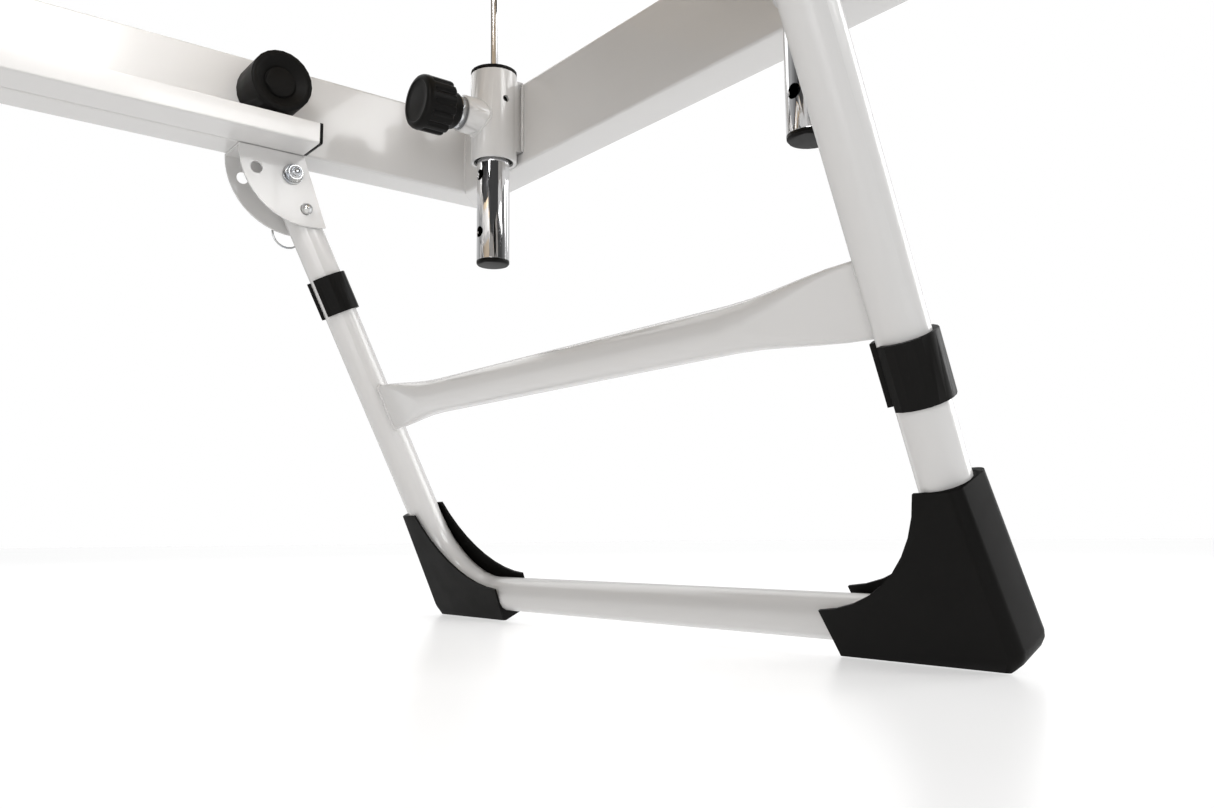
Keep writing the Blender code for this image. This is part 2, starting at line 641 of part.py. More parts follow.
def build_lock_pin(end, side, sign, gear):
    """The pin that holds the leg open, round at its inner end, with a wire ring to pull at."""
    inner, outer = PLATE_INNER - PIN_PROUD, PLATE_OUTER + PIN_TAIL
    nose = arc((0, 0), PIN_RADIUS, pi / 2, 0, 4)
    profile = [(x, inner + PIN_RADIUS - z) for x, z in nose]
    profile += [(PIN_RADIUS, outer - 0.001), (PIN_RADIUS - 0.001, outer), (0, outer)]
    at = (PIVOT.x + PIN_REACH * sin(LEG_SLOPE), 0, PIVOT.z - PIN_REACH * cos(LEG_SLOPE))
    turn = (0, 0, 0) if sign > 0 else (0, 0, pi)
    name = f"lock_pin_{end}_{side_of(end, side)}"
    pin = placed(name, turned(profile, "Y", 18), "zinc", gear, at, turn)
    centre_z = -RING_RADIUS + PIN_RADIUS / 2
    loop = [(x, outer - 0.005, z) for x, z in arc((0, centre_z), RING_RADIUS, 0, 2 * pi, 20)[:-1]]
    combine(pin, tube(loop, RING_WIRE, closed=True, bevel_resolution=2), "UNION")


def build_buffer(end, side, sign, gear):
    """A rubber bumper screwed to the side rail's inner face."""
    back, front = RAIL_INNER - GAP, RAIL_INNER - BUFFER_LENGTH
    rim, recess, button = BUFFER_RADIUS - 0.004, 0.0142, 0.0130
    profile = [
        (0, front + 0.0045),
        (button, front + 0.0045),
        (button, front + 0.0070),
        (recess, front + 0.0070),
        (rim - 0.002, front + 0.0012),
        (rim, front),
        (BUFFER_RADIUS - 0.0015, front),
        (BUFFER_RADIUS, front + 0.0015),
        (BUFFER_RADIUS, back),
        (0, back),
    ]
    at = (HALF_LENGTH - BUFFER_SETBACK, 0, UNDERSIDE + BUFFER_UP)
    turn = (0, 0, 0) if sign > 0 else (0, 0, pi)
    placed(f"rail_buffer_{end}_{side_of(end, side)}", turned(profile, "Y"), "black_rubber", gear, at, turn)


def build_end_gear():
    """Everything that both ends share, for the head end and, turned half round, for the foot end."""
    for end, turn in zip(ENDS, (0, pi)):
        gear = empty(f"{end}_end", turn=(0, 0, turn))
        hinge = empty(f"{end}_leg_hinge", PIVOT, (0, -LEG_SLOPE, 0), gear)
        build_leg_frame(end, hinge)
        build_brace(end, hinge)
        for side, sign in SIDES:
            build_shoe(end, side, sign, hinge)
            build_collar(end, side, sign, hinge)
            build_bracket(end, side, sign, gear)
            build_pivot_bolt(end, side, sign, gear)
            build_lock_pin(end, side, sign, gear)
            build_buffer(end, side, sign, gear)


# ---------------------------------------------------------------- headrest posts
def build_socket(side, at):
    """The welded sleeve of a post, with a boss for the lock and a plate to the end rail."""
    socket = placed(
        f"post_socket_{side}", cylinder(SOCKET_RADIUS, (0, 0, 0), (0, 0, SOCKET_HEIGHT)), "white_powder_coat", at=at
    )
    plate_top = SOCKET_HEIGHT - SOCKET_PLATE_DROP
    low = (SOCKET_RADIUS / 2, -SOCKET_PLATE_HALF, plate_top - SOCKET_PLATE_HEIGHT)
    combine(socket, box(low, (POST_INSET - GAP, SOCKET_PLATE_HALF, plate_top)), "UNION")
    combine(socket, cylinder(BOSS_RADIUS, (0, 0, LOCK_UP), (-BOSS_REACH, 0, LOCK_UP)), "UNION")
    bore = SOCKET_RADIUS - SOCKET_WALL
    combine(socket, cylinder(bore, (0, 0, -SOCKET_WALL), (0, 0, SOCKET_HEIGHT + SOCKET_WALL)))
    combine(socket, cylinder(BARREL_SHANK + GAP, (0, 0, LOCK_UP), (-2 * BOSS_REACH, 0, LOCK_UP)))
    drain = SOCKET_HEIGHT - 0.0287
    combine(socket, cylinder(0.0033, (0, 0, drain), (0, -2 * SOCKET_RADIUS, drain), 12))


def build_bush(side, at):
    """The plastic liner that a post slides in, with a flange on top of the socket."""
    inner, outer = POST_RADIUS + GAP, SOCKET_RADIUS - SOCKET_WALL - GAP
    profile = [
        (inner, POST_TOP - SOCKET_FOOT),
        (SOCKET_RADIUS, POST_TOP - SOCKET_FOOT),
        (SOCKET_RADIUS, SOCKET_HEIGHT + GAP),
        (outer, SOCKET_HEIGHT + GAP),
        (outer, BUSH_RECESS),
        (inner, BUSH_RECESS),
    ]
    bush = placed(f"post_bush_{side}", turned(profile), "black_plastic", at=at)
    combine(bush, cylinder(PLUNGER_RADIUS + GAP, (0, 0, LOCK_UP), (-2 * outer, 0, LOCK_UP)))


def build_post(side, at):
    """The chromed tube, its foot cap, flush so that it can slide up into the bush, and the headrest's rod."""
    foot, top = POST_FOOT - SOCKET_FOOT, POST_TOP - SOCKET_FOOT
    post = placed(f"post_tube_{side}", cylinder(POST_RADIUS, (0, 0, foot), (0, 0, top)), "chrome", at=at)
    bore = POST_RADIUS - POST_WALL
    combine(post, cylinder(bore, (0, 0, foot - POST_WALL), (0, 0, top + POST_WALL)))
    for step in range(INDEX_HOLES):
        up = LOCK_UP - step * INDEX_PITCH
        combine(post, cylinder(INDEX_RADIUS, (0, 0, up), (-2 * POST_RADIUS, 0, up), 16))
    plug = bore - GAP
    cap = [
        (0, foot + 0.012),
        (plug, foot + 0.012),
        (plug, foot - GAP),
        (POST_RADIUS, foot - GAP),
        (POST_RADIUS, foot - POST_CAP + 0.0015),
        (POST_RADIUS - 0.0012, foot - POST_CAP),
        (0, foot - POST_CAP),
    ]
    placed(f"post_cap_{side}", turned(cap), "black_plastic", at=at)
    under_board = HEADREST_BOTTOM - GAP - SOCKET_FOOT
    rod = [
        (0, under_board),
        (ROD_FLANGE_RADIUS, under_board),
        (ROD_FLANGE_RADIUS, under_board - ROD_FLANGE),
        (ROD_RADIUS, under_board - ROD_FLANGE),
        (ROD_RADIUS, top - GAP),
        (plug, top - GAP),
        (plug, top - ROD_PLUG),
        (0, top - ROD_PLUG),
    ]
    placed(f"post_rod_{side}", turned(rod), "chrome", at=at)


def build_lock(side, at):
    """The threaded barrel in the boss, and the pull knob with its moulded-in steel plunger."""
    axis = (at[0], at[1], LOCK_Z)
    bore, bush_outer = PLUNGER_RADIUS + GAP, SOCKET_RADIUS - SOCKET_WALL
    barrel = [
        (bore, BARREL_REACH),
        (BARREL_RADIUS - 0.001, BARREL_REACH),
        (BARREL_RADIUS, BARREL_REACH - 0.001),
        (BARREL_RADIUS, BOSS_REACH + GAP),
        (BARREL_SHANK, BOSS_REACH + GAP),
        (BARREL_SHANK, bush_outer + GAP),
        (bore, bush_outer + GAP),
    ]
    placed(f"lock_barrel_{side}", turned(barrel, "-X"), "zinc", at=axis)
    hub_foot, grip_foot = BARREL_REACH + GAP, BARREL_REACH + KNOB_HUB
    knob = [
        (0, KNOB_REACH),
        (KNOB_RADIUS - 0.004, KNOB_REACH),
        (KNOB_RADIUS - 0.0012, KNOB_REACH - 0.0012),
        (KNOB_RADIUS, KNOB_REACH - 0.004),
        (KNOB_RADIUS, grip_foot + 0.0015),
        (KNOB_RADIUS - 0.0015, grip_foot),
        (KNOB_HUB_RADIUS, grip_foot),
        (KNOB_HUB_RADIUS, hub_foot),
        (PLUNGER_RADIUS, hub_foot),
        (PLUNGER_RADIUS, POST_RADIUS + GAP),
        (0, POST_RADIUS + GAP),
    ]
    placed(f"lock_knob_{side}", turned(knob, "-X"), "black_plastic", at=axis)


def build_posts():
    for side, sign in SIDES:
        at = (POST_X, sign * POST_SPACING / 2, SOCKET_FOOT)
        build_socket(side, at)
        build_bush(side, at)
        build_post(side, at)
        build_lock(side, at)


# ---------------------------------------------------------------- boards and cushions
def pad(name, low, high, finish, corner, roll=0.0):
    """A flat piece with round corners in plan; roll also rounds its upper edge."""
    mesh = box(low, high, corner, along=2, segments=6)
    piece = placed(name, mesh, finish)
    if roll:
        bevel = piece.modifiers.new("roll", "BEVEL")
        bevel.width, bevel.segments, bevel.limit_method, bevel.angle_limit = roll, 3, "ANGLE", radians(60)
    return piece


def build_top():
    half = HALF_WIDTH + TOP_OVERHANG
    base = RAIL_TOP + GAP
    board_half = half - BOARD_INSET
    board_low = (-HALF_LENGTH + BOARD_INSET, -board_half, base)
    board_high = (TOP_HEAD_X - BOARD_INSET, board_half, base + TOP_BOARD)
    pad("top_board", board_low, board_high, "plywood", PAD_CORNER - BOARD_INSET)
    cushion = base + TOP_BOARD + GAP
    pad("top_cushion", (-HALF_LENGTH, -half, cushion), (TOP_HEAD_X, half, cushion + TOP_CUSHION), "vinyl",
        PAD_CORNER, roll=0.015)


def build_headrest():
    head = HALF_LENGTH - HEADREST_SETBACK
    half = HEADREST_WIDTH / 2
    base = HEADREST_BOTTOM
    board_low = (head - HEADREST_LENGTH + BOARD_INSET, -half + BOARD_INSET / 2, base)
    board_high = (head - BOARD_INSET, half - BOARD_INSET / 2, base + HEADREST_BOARD)
    pad("headrest_board", board_low, board_high, "plywood", PAD_CORNER - BOARD_INSET)
    cushion = base + HEADREST_BOARD + GAP
    pad("headrest_cushion", (head - HEADREST_LENGTH, -half, cushion), (head, half, cushion + HEADREST_CUSHION),
        "vinyl", PAD_CORNER, roll=0.015)


build_rails()
build_cross_rails()
build_inner_rails()
build_end_gear()
build_posts()
build_top()
build_headrest()
bpy.context.view_layer.update()
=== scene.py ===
import json
import math

import bmesh
import bpy
import numpy as np
from mathutils import Matrix, Vector
from mathutils.bvhtree import BVHTree


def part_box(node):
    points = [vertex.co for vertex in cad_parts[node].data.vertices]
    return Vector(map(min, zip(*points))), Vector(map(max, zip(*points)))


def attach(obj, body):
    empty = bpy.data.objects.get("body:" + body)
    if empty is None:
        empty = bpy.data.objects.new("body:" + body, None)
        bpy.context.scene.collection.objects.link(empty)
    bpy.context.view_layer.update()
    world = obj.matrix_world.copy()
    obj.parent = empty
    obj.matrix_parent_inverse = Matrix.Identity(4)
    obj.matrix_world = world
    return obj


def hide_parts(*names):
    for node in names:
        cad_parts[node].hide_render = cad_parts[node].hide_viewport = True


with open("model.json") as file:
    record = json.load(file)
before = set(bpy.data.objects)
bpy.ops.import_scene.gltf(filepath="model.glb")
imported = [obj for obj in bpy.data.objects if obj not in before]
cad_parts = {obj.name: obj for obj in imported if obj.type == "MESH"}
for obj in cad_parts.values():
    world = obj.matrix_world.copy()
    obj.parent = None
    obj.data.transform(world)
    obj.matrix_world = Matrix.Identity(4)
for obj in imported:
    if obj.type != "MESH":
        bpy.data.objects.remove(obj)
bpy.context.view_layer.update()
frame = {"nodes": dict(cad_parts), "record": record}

MM = 0.001
NODES = frame["nodes"]
RECORD = frame["record"]
JOINTS = {joint["name"]: joint for joint in RECORD["behaviour"]["joints"]}
SLOT_OF = {part["node"]: part["material_slot"] for part in RECORD["subparts"]}
dice = np.random.default_rng(7)


# %% [markdown]
# ## Writing shader maths as maths
# A finish is a small network of nodes. Wiring it by hand hides what it computes, so one class wraps a
# socket and lets ordinary operators add the Math nodes, and another one makes every other node.
# %% The socket wrapper
class Wire:
    """An output socket: +, * and a number less a socket add the Math node that they name."""

    def __init__(self, finish, socket):
        self.finish, self.socket = finish, socket

    def maths(self, operation, first, second):
        return self.finish.node("ShaderNodeMath", {"operation": operation}, {0: first, 1: second})

    def __add__(self, other):
        return self.maths("ADD", self, other)

    def __mul__(self, other):
        return self.maths("MULTIPLY", self, other)

    def __rsub__(self, other):
        return self.maths("SUBTRACT", other, self)

    __radd__, __rmul__ = __add__, __mul__


# %% The finish
class Finish:
    """A material with one Principled shader, reading the object's own coordinates."""

    def __init__(self, name, **fixed):
        self.material = bpy.data.materials.new(name)
        self.material.use_nodes = True
        self.tree = self.material.node_tree
        self.shader = self.tree.nodes["Principled BSDF"]
        self.place = self.node("ShaderNodeTexCoord", out="Object")
        for socket, value in fixed.items():
            self.feed(socket.replace("_", " ").title().replace("Ior", "IOR"), value)

    def node(self, kind, settings=None, values=None, out=0):
        """Adds a node, sets its settings first and its sockets next, and returns an output."""
        made = self.tree.nodes.new(kind)
        for setting, value in (settings or {}).items():
            setattr(made, setting, value)
        for socket, value in (values or {}).items():
            if isinstance(value, Wire):
                self.tree.links.new(value.socket, made.inputs[socket])
            else:
                made.inputs[socket].default_value = value
        return Wire(self, made.outputs[out])

    def feed(self, socket, value):
        """Gives a shader socket a number, a colour or a wire."""
        if isinstance(value, Wire):
            self.tree.links.new(value.socket, self.shader.inputs[socket])
        elif isinstance(value, tuple) and len(value) == 3:
            self.shader.inputs[socket].default_value = (*value, 1)
        else:
            self.shader.inputs[socket].default_value = value

    def noise(self, scale, detail=2.0, stretch=None):
        """Noise from 0 to 1 at so many features a metre, stretched along an axis where asked."""
        place = self.place
        if stretch:
            place = self.node("ShaderNodeMapping", values={"Vector": place, "Scale": stretch})
        values = {"Vector": place, "Scale": scale, "Detail": detail}
        return self.node("ShaderNodeTexNoise", values=values)

    def blend(self, mask, one, two):
        """Goes from one colour to another as the mask goes from 0 to 1."""
        first, second = ((*colour, 1) if isinstance(colour, tuple) else colour for colour in (one, two))
        return self.node("ShaderNodeMix", {"data_type": "RGBA"}, {0: mask, 6: first, 7: second}, out=2)

    def ramp(self, mask, low, high):
        """Spreads the values between low and high over 0 to 1 and clamps the rest."""
        limits = {"Value": mask, "From Min": low, "From Max": high}
        return self.node("ShaderNodeMapRange", {"clamp": True}, limits)

    def bump(self, height, depth, strength=1.0):
        """Raises the surface by height, with depth metres between 0 and 1."""
        values = {"Height": height, "Distance": depth, "Strength": strength}
        self.feed("Normal", self.node("ShaderNodeBump", values=values))


# %% [markdown]
# ## White powder coat
# The steel is sprayed with a powder that melts into a thick glossy skin. Close up it has a fine
# orange peel, and its gloss changes a little from place to place where the skin ran thicker.
# %% Powder coat
def powder_coat():
    coat = Finish("white_powder_coat", coat_weight=0.35, coat_roughness=0.06)
    cloud = coat.ramp(coat.noise(2.6, 3), 0.3, 0.7)
    coat.feed("Base Color", coat.blend(cloud, (0.612, 0.604, 0.596), (0.622, 0.615, 0.607)))
    coat.feed("Roughness", coat.noise(12, 2) * 0.03 + 0.24)
    coat.bump(coat.noise(430, 1) * 0.7 + coat.noise(1300, 1) * 0.3, 0.05 * MM, 0.35)
    return coat.material


# %% [markdown]
# ## Chrome, zinc
# The post tubes are plated and polished: almost a mirror, with faint rubbing marks along the slide.
# The bolts, the pins and the barrels have a thin zinc plating, greyer, with a bluish bloom.
# %% Metals
def chrome():
    plate = Finish("chrome", metallic=1.0)
    rubbed = plate.ramp(plate.noise(40, 4, (14, 14, 0.5)), 0.45, 0.75)
    plate.feed("Base Color", plate.blend(rubbed, (0.80, 0.80, 0.81), (0.72, 0.72, 0.73)))
    plate.feed("Roughness", rubbed * 0.05 + 0.035)
    return plate.material


def zinc():
    plate = Finish("zinc", metallic=1.0)
    bloom = plate.ramp(plate.noise(85, 3), 0.35, 0.65)
    plate.feed("Base Color", plate.blend(bloom, (0.45, 0.47, 0.50), (0.62, 0.62, 0.61)))
    plate.feed("Roughness", plate.noise(260, 2) * 0.16 + 0.14)
    plate.bump(plate.noise(900, 2), 0.03 * MM, 0.4)
    return plate.material


# %% [markdown]
# ## Moulded black parts
# The shoes and the buffers are rubbery, with a fine spark-eroded grain and a slight dusty sheen in
# random patches. The knobs, the collars and the caps are harder plastic, a little glossier.
# %% Black mouldings
def moulded(name, dark, pale, gloss, grain, depth):
    skin = Finish(name, IOR=1.25, specular_ior_level=0.25)
    dust = skin.ramp(skin.noise(9, 4), 0.35, 0.75)
    fine = skin.noise(grain, 2)
    skin.feed("Base Color", skin.blend(dust * 0.7 + fine * 0.3, dark, pale))
    skin.feed("Roughness", skin.noise(55, 3) * 0.16 + gloss)
    skin.bump(fine * 0.8 + skin.noise(grain * 0.3, 2) * 0.2, depth, 0.5)
    return skin.material


# %% [markdown]
# ## Plywood
# The boards are birch plywood. Their faces show long grain, and their edges show the plies, so the
# colour follows grain that is stretched along the table and bands that follow the height.
# %% Plywood
PLY = 1.5 * MM


def plywood():
    wood = Finish("plywood", coat_weight=0.1)
    grain = wood.noise(38, 6, (0.12, 1.6, 1.6))
    fleck = wood.ramp(wood.noise(240, 2, (0.08, 1, 1)), 0.62, 0.75)
    height = wood.node("ShaderNodeSeparateXYZ", values={0: wood.place}, out="Z")
    band = wood.node("ShaderNodeMath", {"operation": "SINE"}, {0: height * (2 * math.pi / PLY)})
    plies = wood.ramp(band, -0.2, 0.2)
    face = wood.blend(wood.ramp(grain, 0.3, 0.7), (0.52, 0.40, 0.27), (0.66, 0.54, 0.39))
    flecked = wood.blend(fleck * 0.4, face, (0.30, 0.18, 0.09))
    wood.feed("Base Color", wood.blend(plies * 0.18, flecked, (0.38, 0.28, 0.18)))
    wood.feed("Roughness", grain * 0.2 + 0.42)
    wood.bump(grain * 0.6 + fleck * 0.4, 0.15 * MM, 0.5)
    return wood.material


# %% [markdown]
# ## Vinyl upholstery
# The cushions are covered with soft vinyl that imitates leather: small cells with creases between
# them, over broad, shallow unevenness from the foam. The creases are painted darker as painted shade.
# %% Vinyl
def vinyl():
    skin = Finish("vinyl", coat_weight=0.08, coat_roughness=0.35)
    edges = {"feature": "DISTANCE_TO_EDGE"}
    cells = skin.node("ShaderNodeTexVoronoi", edges, {"Vector": skin.place, "Scale": 520})
    crease = skin.ramp(cells, 0.0, 0.16)
    cloud = skin.noise(5, 3)
    # base colour: a random cloudy tone mixed with painted shade that darkens the creases at the cell edges
    cloud_and_crease_shade = cloud * 0.6 + crease * 0.4
    skin.feed("Base Color", skin.blend(cloud_and_crease_shade, (0.020, 0.020, 0.022), (0.036, 0.036, 0.039)))
    skin.feed("Roughness", skin.noise(60, 3) * 0.14 + (1 - crease) * 0.12 + 0.36)
    skin.bump(crease * 0.7 + skin.noise(140, 2) * 0.3, 0.12 * MM, 0.6)
    return skin.material


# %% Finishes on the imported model's nodes
RUBBER = ((0.0040, 0.0038, 0.0035), (0.0075, 0.0071, 0.0067))
PLASTIC = ((0.0055, 0.0053, 0.0050), (0.0095, 0.0091, 0.0087))
FINISHES = {
    "white_powder_coat": powder_coat(),
    "chrome": chrome(),
    "zinc": zinc(),
    "black_rubber": moulded("black_rubber", *RUBBER, 0.42, 1500, 0.06 * MM),
    "black_plastic": moulded("black_plastic", *PLASTIC, 0.32, 1100, 0.04 * MM),
    "plywood": plywood(),
    "vinyl": vinyl(),
}
for name, node in NODES.items():
    for slot in node.material_slots:
        slot.material = FINISHES[SLOT_OF[name]]
print("finishes:", ", ".join(FINISHES))


# %% [markdown]
# ## Smooth tubes and turned parts
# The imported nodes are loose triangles, so light breaks at every facet of a tube. Each node is left as
# it is, and a copy takes its place: its points are merged, and its faces are shaded smooth except
# across edges sharper than a set angle, which keeps the real corners crisp.
# %% Smooth copies
BODY_OF = {node: body for body, nodes in RECORD["behaviour"]["bodies"].items() for node in nodes}
SHARP = math.radians(34)
MERGE = 2e-6


def smooth_copy(name):
    """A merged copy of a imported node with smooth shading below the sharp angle."""
    shape = bmesh.new()
    shape.from_mesh(NODES[name].data)
    bmesh.ops.remove_doubles(shape, verts=shape.verts, dist=MERGE)
    mesh = bpy.data.meshes.new(f"smooth_{name}")
    shape.to_mesh(mesh)
    shape.free()
    mesh.shade_smooth()
    mesh.set_sharp_from_angle(angle=SHARP)
    copy = bpy.data.objects.new(f"smooth_{name}", mesh)
    bpy.context.scene.collection.objects.link(copy)
    mesh.materials.clear()
    mesh.materials.append(FINISHES[SLOT_OF[name]])
    even = copy.modifiers.new("even_shading", "WEIGHTED_NORMAL")
    even.keep_sharp = True
    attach(copy, BODY_OF[name])
    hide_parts(name)
    return copy


REMADE = ("top_cushion", "headrest_cushion", "lock_knob_", "pivot_bolt_")
copies = [smooth_copy(name) for name in NODES if not name.startswith(REMADE)]
print("smooth copies:", len(copies))


# %% [markdown]
# ## Surfaces from arrays
# Every new hard piece is a grid of points: rows along it, columns round it. One function joins the
# grid with quads, closes it where it is a loop and puts it on the body that carries it.
# %% Grid to piece
def piece(name, grid, body, slot, loop=False):
    """A closed piece through grid[row, column]: columns always close, rows close where loop is set."""
    rows, columns = grid.shape[:2]
    index = np.arange(rows * columns).reshape(rows, columns)
    here, next_row = (index, np.roll(index, -1, 0)) if loop else (index[:-1], index[1:])
    quads = np.stack((here, np.roll(here, -1, 1), np.roll(next_row, -1, 1), next_row), -1)
    faces = quads.reshape(-1, 4).tolist()
    if not loop:
        faces += [index[0].tolist(), index[-1][::-1].tolist()]
    mesh = bpy.data.meshes.new(name)
    mesh.from_pydata(grid.reshape(-1, 3).tolist(), [], faces)
    return finished(name, mesh, body, slot)


def finished(name, mesh, body, slot):
    shape = bmesh.new()
    shape.from_mesh(mesh)
    bmesh.ops.recalc_face_normals(shape, faces=shape.faces)
    shape.to_mesh(mesh)
    shape.free()
    mesh.shade_smooth()
    mesh.set_sharp_from_angle(angle=math.radians(38))
    made = bpy.data.objects.new(name, mesh)
    bpy.context.scene.collection.objects.link(made)
    mesh.materials.append(FINISHES[slot])
    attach(made, body)
    return made


def resampled(path, count, loop=False):
    """The same path with its points at equal steps along its length."""
    path = np.asarray(path, float)
    if loop:
        path = np.vstack((path, path[:1]))
    along = np.r_[0, np.cumsum(np.linalg.norm(np.diff(path, axis=0), axis=1))]
    steps = np.linspace(0, along[-1], count + 1)[:-1] if loop else np.linspace(0, along[-1], count)
    return np.stack([np.interp(steps, along, path[:, axis]) for axis in range(3)], -1)


# %% [markdown]
# ## Weld beads
# Where tubes meet, the paint covers a row of small overlapping scales. A bead is a circle carried
# along the joint, and its radius swells and shrinks once for each scale, with a little irregularity.
# %% Beads
SCALE_LENGTH = 1.7 * MM
RIPPLE, UNEVEN = 0.12, 0.015


def bead(name, path, across, radius, body, loop=False, swell=None, slot="white_powder_coat", rippled=True):
    """A circle carried along path; its radius is radius times 1 + RIPPLE cos of the place along a scale."""
    length = np.linalg.norm(np.diff(np.asarray(path, float), axis=0), axis=1).sum()
    count = max(8, int(length / (SCALE_LENGTH / 6 if rippled else 4 * MM)))
    points = resampled(path, count, loop)
    step = np.roll(points, -1, 0) - np.roll(points, 1, 0)
    if not loop:
        step[0], step[-1] = points[1] - points[0], points[-1] - points[-2]
    tangent = step / np.linalg.norm(step, axis=1)[:, None]
    side = np.cross(tangent, np.asarray(across, float))
    side /= np.linalg.norm(side, axis=1)[:, None]
    over = np.cross(side, tangent)
    turn = np.linspace(0, 2 * np.pi, 12, endpoint=False)
    size = np.full(count, radius)
    if rippled:
        scales = max(3, round(length / SCALE_LENGTH))
        wave = np.cos(2 * np.pi * scales * np.arange(count) / count)
        size *= 1 + RIPPLE * wave + dice.normal(0, UNEVEN, count)
    if swell is not None:
        size *= swell(np.arange(count) / count)
    if not loop:
        size *= np.sqrt(np.clip(1.02 - np.linspace(-1, 1, count) ** 20, 0.02, 1))
    ring = np.cos(turn)[None, :, None] * side[:, None] + np.sin(turn)[None, :, None] * over[:, None]
    return piece(name, points[:, None] + size[:, None, None] * ring, body, slot, loop)


# %% [markdown]
# ## Welds of the leg frames
# The brace's pressed ends are welded to the legs all round. The legs' frame leans, so the path is
# worked out in the leaning plane and then turned about the pivot, and for the foot end half round.
# %% Brace welds
LEAN = math.radians(25.2)
BRACE_DOWN = 230.2 * MM
BRACE_HALF = (2.3 * MM, 22 * MM)
BRACE_SUNK, BRACE_BEAD = 0.8 * MM, 1.3 * MM


def stadium(half_width, half_height, count=48):
    """Two half circles joined by straight sides, in X and Z."""
    turn = np.linspace(0, np.pi, count // 2)
    x, z = half_width * np.cos(turn), half_height - half_width + half_width * np.sin(turn)
    return np.stack((np.r_[x, -x], np.zeros(2 * len(x)), np.r_[z, -z]), -1)


def leaning(end, points):
    """Points of the leg frame's own plane, from its pivot, put where the standing leg has them."""
    pivot = np.array(JOINTS["head_leg_fold"]["pos_m"])
    x = points[:, 0] * math.cos(LEAN) - points[:, 2] * math.sin(LEAN)
    z = points[:, 0] * math.sin(LEAN) + points[:, 2] * math.cos(LEAN)
    placed = np.stack((x, points[:, 1], z), -1) + pivot
    return placed if end == "head" else placed * (-1, -1, 1)


for end in ("head", "foot"):
    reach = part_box(f"leg_brace_{end}")[1][1]
    for sign, side in ((1, "left"), (-1, "right")):
        oval = stadium(*BRACE_HALF)
        oval[:, 1] = sign * (reach - BRACE_SUNK)
        oval[:, 2] -= BRACE_DOWN
        bead(f"brace_weld_{end}_{side}", leaning(end, oval), (0, 1, 0), BRACE_BEAD, f"{end}_legs", loop=True)

# %% [markdown]
# ## Welds of the frame
# The outer rails meet in mitres that are welded and dressed almost flush, so the beads there are thin
# and smooth. The post sleeves are welded to the end rail on both sides of their plate, and their
# bosses all round with a blob at the lowest point.
# %% Frame welds
CORNER_BEAD, MITRE_BEAD, MITRE_LIFT = 1.5 * MM, 0.6 * MM, 0.35 * MM
rail_low, rail_high = (np.array(corner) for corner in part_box("side_rail_left"))
end_low = np.array(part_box("end_rail_head")[0])
for end, towards in (("head", 1), ("foot", -1)):
    for side, sign in (("left", 1), ("right", -1)):
        inner = np.array((towards * end_low[0], sign * rail_low[1], rail_low[2]))
        outer = np.array((towards * rail_high[0], sign * rail_high[1], rail_low[2]))
        up = np.array((0, 0, rail_high[2] - rail_low[2]))
        corner = [inner + up * 0.04, inner + up * 0.96]
        bead(f"corner_weld_{end}_{side}", corner, (1, 0, 0), CORNER_BEAD, "frame")
        mitre = np.array([inner + (outer - inner) * 0.05, inner + (outer - inner) * 0.95])
        lift = np.array((0, 0, MITRE_LIFT))
        for level, line in (("low", mitre + lift), ("top", mitre + up - lift)):
            name = f"mitre_weld_{level}_{end}_{side}"
            bead(name, line, (0, 0, 1), MITRE_BEAD, "frame", rippled=False)

SLEEVE = 21.8 * MM
BOSS = 17 * MM
PLATE_HALF, PLATE_SUNK, PLATE_BEAD = 17.4 * MM, 0.6 * MM, 1.7 * MM
ABOVE_FOOT, BELOW_TOP = 11 * MM, 8 * MM
BOSS_BEAD = 1.2 * MM


def blob(share):
    """A swelling in the middle of a bead."""
    return 1 + 1.6 * np.exp(-(((share - 0.5) / 0.035) ** 2))


for side in ("left", "right"):
    post_low, post_high = (np.array(corner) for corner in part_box(f"post_tube_{side}"))
    axis = (post_low + post_high) / 2
    plate_low, plate_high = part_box(f"post_socket_{side}")
    lock = np.array(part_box(f"lock_barrel_{side}")).mean(0)
    for sign, face in ((1, "left"), (-1, "right")):
        x = plate_high[0] - PLATE_SUNK
        y = axis[1] + sign * PLATE_HALF
        line = [(x, y, plate_low[2] + ABOVE_FOOT), (x, y, plate_high[2] - BELOW_TOP)]
        bead(f"plate_weld_{side}_{face}", line, (1, 0, 0), PLATE_BEAD, "frame")
    turn = np.linspace(0, 2 * np.pi, 97)[:-1]
    y, z = BOSS * np.sin(turn), BOSS * np.cos(turn)
    saddle = np.stack((axis[0] - np.sqrt(SLEEVE**2 - y**2), axis[1] + y, lock[2] + z), -1)
    bead(f"boss_weld_{side}", saddle, (1, 0, 0), BOSS_BEAD, "frame", loop=True, swell=blob)
print("weld beads done")

# %% [markdown]
# ## Lobed pull knobs
# The knob is moulded with flutes for the fingers that stop behind a smooth round rim, a shallow round
# recess in its face and a plain hub. Its radius is a profile along the axis, less a groove depth that
# only acts on the grip: depth times a hump that repeats once for each lobe.
# %% Knobs
LOBES = 14
GROOVE = 2.2 * MM
# reach from the post's axis and radius, both in mm, from the pin through the hub and grip to the face
KNOB_PROFILE = np.array((
    (15.7, 4.6), (16.0, 5.0), (43.0, 5.0),
    (43.1, 15.4), (43.5, 16.3), (44.4, 16.8), (52.0, 17.0), (52.4, 17.3),
    (52.5, 22.0), (52.8, 23.8), (53.8, 24.7), (55.2, 25.0), (60.0, 25.0), (66.0, 25.0),
    (72.0, 25.0), (74.5, 25.0), (75.3, 25.0), (77.0, 24.9), (79.0, 24.5), (80.7, 23.6),
    (81.7, 22.2), (82.0, 20.6), (82.0, 19.4), (81.6, 18.9), (81.4, 18.2), (81.5, 12.0),
    (81.7, 6.0), (81.8, 0.4),
)) * MM
GRIP_FROM, GRIP_TO, HUB_EDGE, GRIP_DEEP = 52 * MM, 75 * MM, 17.3 * MM, 6.5 * MM
GROOVE_SHARE = 0.42


